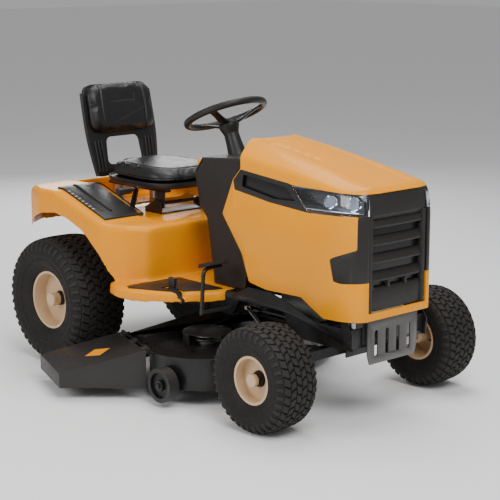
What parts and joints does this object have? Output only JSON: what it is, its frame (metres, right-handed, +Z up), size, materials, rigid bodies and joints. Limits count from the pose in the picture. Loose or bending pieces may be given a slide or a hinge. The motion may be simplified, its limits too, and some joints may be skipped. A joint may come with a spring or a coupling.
{
  "type": "riding lawn mower",
  "caption": "Ride-on lawn tractor with tilting hood, steered front axle, lifting side-discharge deck, spinning blades, sliding tilting seat and foot pedals",
  "frame": {"origin": "centre of the whole machine's box on the ground plane", "axes": "+X forward, +Y to the driver's left, +Z up"},
  "size_m": [1.757, 1.296, 1.0868],
  "materials": {
    "belt_rubber": "matt",
    "black_paint": "gloss black",
    "black_plastic": "satin",
    "cast": "black",
    "clear_lens": "clear",
    "cream_paint": "cream",
    "dark_plastic": "fine grained",
    "engine_metal": "cast",
    "gunmetal": "metallic grey",
    "hood_plastic": "glossy yellow",
    "mirror_chrome": "bright",
    "steel": "zinc plated",
    "tyre": "matt",
    "vinyl": "soft vinyl",
    "yellow_paint": "glossy yellow"
  },
  "bodies": {
    "frame": {"frame_rails": "black_paint", "frame_crossmembers": "black_paint", "front_bumper": "gunmetal", "fender_body": "yellow_paint", "fender_trim": "black_plastic", "dash_pedestal": "dark_plastic", "dash_panel": "black_plastic", "engine_block": "engine_metal", "engine_shroud": "black_plastic", "muffler": "steel", "battery": "black_plastic", "fuel_tank": "black_plastic", "transaxle": "engine_metal", "seat_bracket": "black_paint", "seat_springs": "steel", "drive_belt": "belt_rubber"},
    "hood": {"hood_shell": "hood_plastic", "hood_grille": "dark_plastic", "headlight_lenses": "clear_lens", "headlight_reflectors": "mirror_chrome", "hood_hinge_arms": "black_paint"},
    "steering": {"steering_wheel": "black_plastic", "steering_shaft": "steel"},
    "steering_sector": {"steering_sector": "steel"},
    "front_axle": {"front_axle_beam": "cast"},
    "spindle_right": {"spindle_right": "steel"},
    "spindle_left": {"spindle_left": "steel"},
    "drag_link_right": {"drag_link_right": "steel"},
    "drag_link_left": {"drag_link_left": "steel"},
    "front_wheel_right": {"front_rim_right": "cream_paint", "front_tyre_right": "tyre"},
    "front_wheel_left": {"front_rim_left": "cream_paint", "front_tyre_left": "tyre"},
    "rear_wheel_right": {"rear_rim_right": "cream_paint", "rear_tyre_right": "tyre"},
    "rear_wheel_left": {"rear_rim_left": "cream_paint", "rear_tyre_left": "tyre"},
    "deck": {"deck_shell": "black_paint", "spindle_housings": "engine_metal", "belt_covers": "black_plastic", "deck_belt": "belt_rubber"},
    "lift_lever": {"lift_lever": "black_paint"},
    "engine_pulley": {"engine_pulley": "steel"},
    "blade_right": {"blade_right": "steel"},
    "blade_left": {"blade_left": "steel"},
    "transaxle_pulley": {"transaxle_pulley": "steel"},
    "discharge_chute": {"discharge_chute": "dark_plastic"},
    "gauge_wheel_right": {"gauge_wheel_right": "black_plastic"},
    "gauge_wheel_left": {"gauge_wheel_left": "black_plastic"},
    "seat_rails": {"seat_rails": "black_paint"},
    "seat": {"seat_shell": "black_plastic", "seat_cushion": "vinyl", "backrest_cushion": "vinyl"},
    "forward_pedal": {"forward_pedal": "black_paint"},
    "brake_pedal": {"brake_pedal": "black_paint"},
    "reverse_pedal": {"reverse_pedal": "black_paint"},
    "pto_knob": {"pto_knob": "hood_plastic"},
    "ignition_key": {"ignition_key": "steel"},
    "throttle_lever": {"throttle_lever": "black_plastic"},
    "fuel_cap": {"fuel_cap": "black_plastic"}
  },
  "joints": [
    {"name": "hood_tilt", "type": "hinge", "parent": "frame", "child": "hood", "pos_m": [0.8315, 0.1, 0.3], "axis": [0, 1, 0], "range_deg": [0, 70]},
    {"name": "steering_turn", "type": "hinge", "parent": "frame", "child": "steering", "pos_m": [-0.0215, 0.1, 1.009], "axis": [-0.4179, 0, 0.9085], "range_deg": [-180, 180]},
    {"name": "sector_turn", "type": "hinge", "parent": "frame", "child": "steering_sector", "pos_m": [0.14158, 0.1, 0.30983], "axis": [-0.4179, 0, 0.9085], "range_deg": [-36.5, 36.5]},
    {"name": "front_axle_roll", "type": "hinge", "parent": "frame", "child": "front_axle", "pos_m": [0.6535, 0.1, 0.225], "axis": [1, 0, 0], "range_deg": [-6, 6]},
    {"name": "spindle_right_steer", "type": "hinge", "parent": "front_axle", "child": "spindle_right", "pos_m": [0.6535, -0.208, 0.2], "axis": [0, 0, 1], "range_deg": [-36.5, 36.5]},
    {"name": "drag_link_right_pivot", "type": "hinge", "parent": "spindle_right", "child": "drag_link_right", "pos_m": [0.5735, -0.208, 0.278], "axis": [0, 0, 1], "range_deg": [-37.1, 37.1]},
    {"name": "front_wheel_right_spin", "type": "hinge", "parent": "spindle_right", "child": "front_wheel_right", "pos_m": [0.6535, -0.325, 0.188], "axis": [0, 1, 0], "continuous": true},
    {"name": "rear_wheel_right_spin", "type": "hinge", "parent": "frame", "child": "rear_wheel_right", "pos_m": [-0.5665, -0.275, 0.252], "axis": [0, 1, 0], "continuous": true},
    {"name": "spindle_left_steer", "type": "hinge", "parent": "front_axle", "child": "spindle_left", "pos_m": [0.6535, 0.408, 0.2], "axis": [0, 0, 1], "range_deg": [-36.5, 36.5]},
    {"name": "drag_link_left_pivot", "type": "hinge", "parent": "spindle_left", "child": "drag_link_left", "pos_m": [0.5735, 0.408, 0.278], "axis": [0, 0, 1], "range_deg": [-37.1, 37.1]},
    {"name": "front_wheel_left_spin", "type": "hinge", "parent": "spindle_left", "child": "front_wheel_left", "pos_m": [0.6535, 0.525, 0.188], "axis": [0, 1, 0], "continuous": true},
    {"name": "rear_wheel_left_spin", "type": "hinge", "parent": "frame", "child": "rear_wheel_left", "pos_m": [-0.5665, 0.475, 0.252], "axis": [0, 1, 0], "continuous": true},
    {"name": "deck_lift", "type": "slide", "parent": "frame", "child": "deck", "axis": [0, 0, 1], "range_m": [0, 0.0613], "deforming": ["deck_belt"]},
    {"name": "lift_lever_turn", "type": "hinge", "parent": "frame", "child": "lift_lever", "pos_m": [-0.4165, -0.147, 0.29], "axis": [0, -1, 0], "range_deg": [0, 28]},
    {"name": "engine_pulley_spin", "type": "hinge", "parent": "frame", "child": "engine_pulley", "pos_m": [0.5335, 0.1, 0.3], "axis": [0, 0, 1], "continuous": true},
    {"name": "blade_right_spin", "type": "hinge", "parent": "deck", "child": "blade_right", "pos_m": [0.1415, -0.14, 0.18], "axis": [0, 0, 1], "continuous": true},
    {"name": "blade_left_spin", "type": "hinge", "parent": "deck", "child": "blade_left", "pos_m": [-0.0185, 0.34, 0.18], "axis": [0, 0, 1], "continuous": true},
    {"name": "transaxle_pulley_spin", "type": "hinge", "parent": "frame", "child": "transaxle_pulley", "pos_m": [-0.4015, 0.1, 0.27], "axis": [0, 0, 1], "continuous": true},
    {"name": "chute_tilt", "type": "hinge", "parent": "deck", "child": "discharge_chute", "pos_m": [-0.16328, -0.30739, 0.19], "axis": [-0.949, 0.3152, 0], "range_deg": [0, 70]},
    {"name": "gauge_wheel_right_spin", "type": "hinge", "parent": "deck", "child": "gauge_wheel_right", "pos_m": [0.2175, -0.41, 0.0835], "axis": [0, 1, 0], "continuous": true},
    {"name": "gauge_wheel_left_spin", "type": "hinge", "parent": "deck", "child": "gauge_wheel_left", "pos_m": [0.0575, 0.61, 0.0835], "axis": [0, 1, 0], "continuous": true},
    {"name": "seat_tilt", "type": "hinge", "parent": "frame", "child": "seat_rails", "pos_m": [-0.2765, 0.1, 0.64], "axis": [0, 1, 0], "range_deg": [0, 38]},
    {"name": "seat_slide", "type": "slide", "parent": "seat_rails", "child": "seat", "axis": [1, 0, 0], "range_m": [-0.045, 0.045]},
    {"name": "forward_pedal_press", "type": "hinge", "parent": "frame", "child": "forward_pedal", "pos_m": [0.2215, 0.1, 0.32], "axis": [0, 1, 0], "range_deg": [0, 16], "stiffness_Nm_per_rad": 10, "springref_deg": -5.73},
    {"name": "brake_pedal_press", "type": "hinge", "parent": "frame", "child": "brake_pedal", "pos_m": [0.2215, 0.1, 0.32], "axis": [0, 1, 0], "range_deg": [0, 20], "stiffness_Nm_per_rad": 10, "springref_deg": -5.73},
    {"name": "reverse_pedal_press", "type": "hinge", "parent": "frame", "child": "reverse_pedal", "pos_m": [0.1235, 0.1, 0.352], "axis": [0, -1, 0], "range_deg": [0, 12], "stiffness_Nm_per_rad": 5, "springref_deg": -5.73},
    {"name": "pto_pull", "type": "slide", "parent": "frame", "child": "pto_knob", "axis": [-0.8027, 0, 0.5963], "range_m": [0, 0.02]},
    {"name": "ignition_turn", "type": "hinge", "parent": "frame", "child": "ignition_key", "pos_m": [0.0115, 0.184, 0.827], "axis": [-0.8027, 0, 0.5963], "range_deg": [0, 60]},
    {"name": "throttle_move", "type": "hinge", "parent": "frame", "child": "throttle_lever", "pos_m": [0.02595, 0.228, 0.81627], "axis": [0, 1, 0], "range_deg": [-16, 16]},
    {"name": "fuel_cap_turn", "type": "hinge", "parent": "frame", "child": "fuel_cap", "pos_m": [-0.5665, 0.46, 0.712], "axis": [0, 0, 1], "continuous": true}
  ],
  "couplings": [
    {"joint": "sector_turn", "follows": "steering_turn", "ratio": -0.2},
    {"joint": "spindle_right_steer", "follows": "steering_turn", "ratio": 0.2},
    {"joint": "drag_link_right_pivot", "follows": "steering_turn", "ratio": -0.20068},
    {"joint": "spindle_left_steer", "follows": "steering_turn", "ratio": 0.2},
    {"joint": "drag_link_left_pivot", "follows": "steering_turn", "ratio": -0.20068},
    {"joint": "deck_lift", "follows": "lift_lever_turn", "m_per_rad": 0.12532},
    {"joint": "blade_right_spin", "follows": "engine_pulley_spin", "ratio": 0.90323},
    {"joint": "blade_left_spin", "follows": "engine_pulley_spin", "ratio": 0.90323},
    {"joint": "transaxle_pulley_spin", "follows": "engine_pulley_spin", "ratio": 0.90323}
  ]
}
